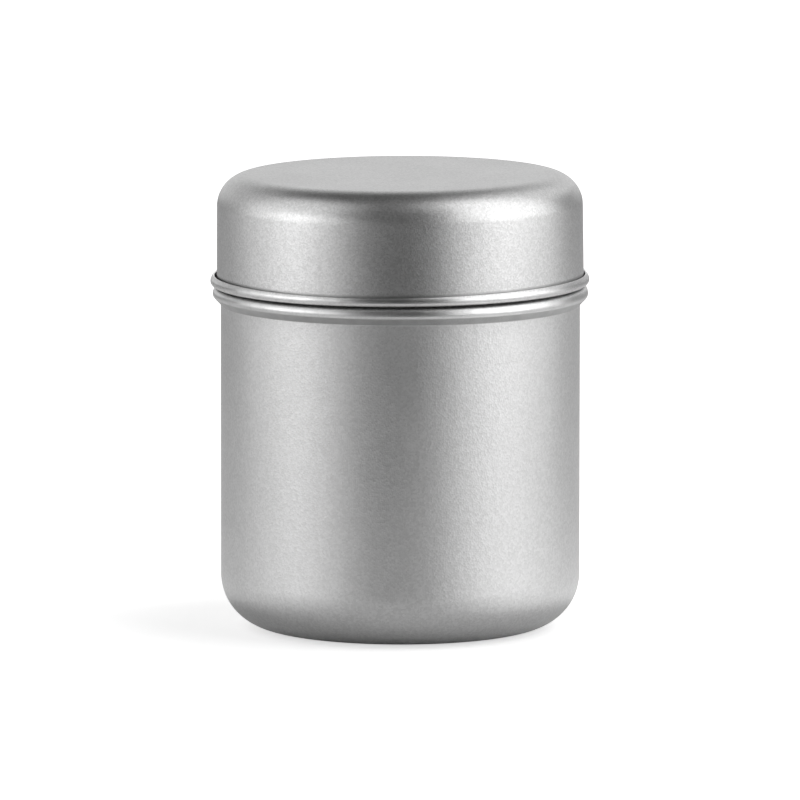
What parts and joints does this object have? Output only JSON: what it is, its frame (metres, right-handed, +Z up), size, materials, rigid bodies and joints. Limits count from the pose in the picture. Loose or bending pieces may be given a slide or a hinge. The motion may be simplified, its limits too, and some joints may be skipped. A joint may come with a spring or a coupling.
{
  "type": "tea canister",
  "caption": "Round lidded sheet metal canister with a rolled stop bead, a grooved neck with a seal ring, and a slip-over lid with a curled rim.",
  "frame": {"origin": "centre of the circle that the canister stands on, at table height", "axes": "+Z up along the canister's axis; X and Y are any two directions across it, because it is round"},
  "size_m": [0.074, 0.074, 0.0889],
  "materials": {
    "blasted_metal": "satin",
    "silicone": "matte"
  },
  "bodies": {
    "canister": {"canister_body": "blasted_metal"},
    "seal": {"seal_ring": "silicone"},
    "lid": {"lid": "blasted_metal"}
  },
  "joints": [
    {"name": "lid_turn", "type": "hinge", "parent": "canister", "child": "seal", "pos_m": [0, 0, 0.0748], "axis": [0, 0, 1], "continuous": true},
    {"name": "lid_lift", "type": "slide", "parent": "seal", "child": "lid", "axis": [0, 0, 1], "range_m": [0, 0.06]}
  ]
}
